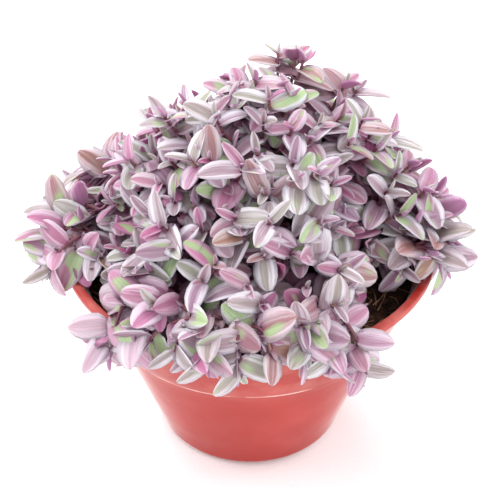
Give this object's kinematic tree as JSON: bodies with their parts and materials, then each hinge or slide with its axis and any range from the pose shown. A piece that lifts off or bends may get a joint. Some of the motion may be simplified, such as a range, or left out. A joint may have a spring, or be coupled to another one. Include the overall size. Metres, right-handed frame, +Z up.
{
  "type": "potted turtle vine",
  "caption": "Low mounding houseplant with small pointed pink and green leaves on trailing stems, rooted in a round tapered pot with a lipped rim.",
  "frame": {"origin": "middle of the pot's base, on the surface that it stands on", "axes": "+Z up along the pot's axis, -Y towards the front where the shoots hang over the lip, +X to the right"},
  "size_m": [0.1613, 0.1581, 0.1467],
  "materials": {
    "pot_plastic": "satin moulded",
    "potting_mix": "matt crumbly",
    "shoots": "soft satin"
  },
  "bodies": {
    "root": {"crown_shoot_back": "shoots", "crown_shoot_right": "shoots", "pot": "pot_plastic", "potting_mix": "potting_mix", "shoot_01": "shoots", "shoot_02": "shoots", "shoot_03": "shoots", "shoot_04": "shoots", "shoot_05": "shoots", "shoot_06": "shoots", "shoot_07": "shoots", "shoot_08": "shoots", "shoot_09": "shoots", "shoot_10": "shoots", "shoot_11": "shoots", "shoot_12": "shoots", "shoot_13": "shoots", "shoot_14": "shoots", "shoot_15": "shoots", "shoot_16": "shoots", "shoot_17": "shoots", "shoot_18": "shoots", "shoot_19": "shoots", "shoot_20": "shoots", "shoot_21": "shoots", "shoot_22": "shoots", "shoot_23": "shoots", "shoot_24": "shoots", "shoot_25": "shoots", "shoot_26": "shoots", "shoot_27": "shoots", "shoot_28": "shoots", "shoot_29": "shoots", "shoot_30": "shoots", "shoot_31": "shoots", "shoot_32": "shoots", "shoot_33": "shoots", "shoot_34": "shoots", "shoot_35": "shoots", "shoot_36": "shoots", "shoot_37": "shoots", "shoot_38": "shoots", "shoot_39": "shoots", "shoot_40": "shoots", "shoot_41": "shoots", "shoot_42": "shoots", "shoot_43": "shoots", "shoot_44": "shoots", "shoot_45": "shoots", "shoot_46": "shoots", "trailer_back": "shoots", "trailer_back_left": "shoots", "trailer_back_right": "shoots", "trailer_front": "shoots", "trailer_front_left": "shoots", "trailer_front_right": "shoots", "trailer_left": "shoots", "trailer_right": "shoots"}
  },
  "joints": []
}
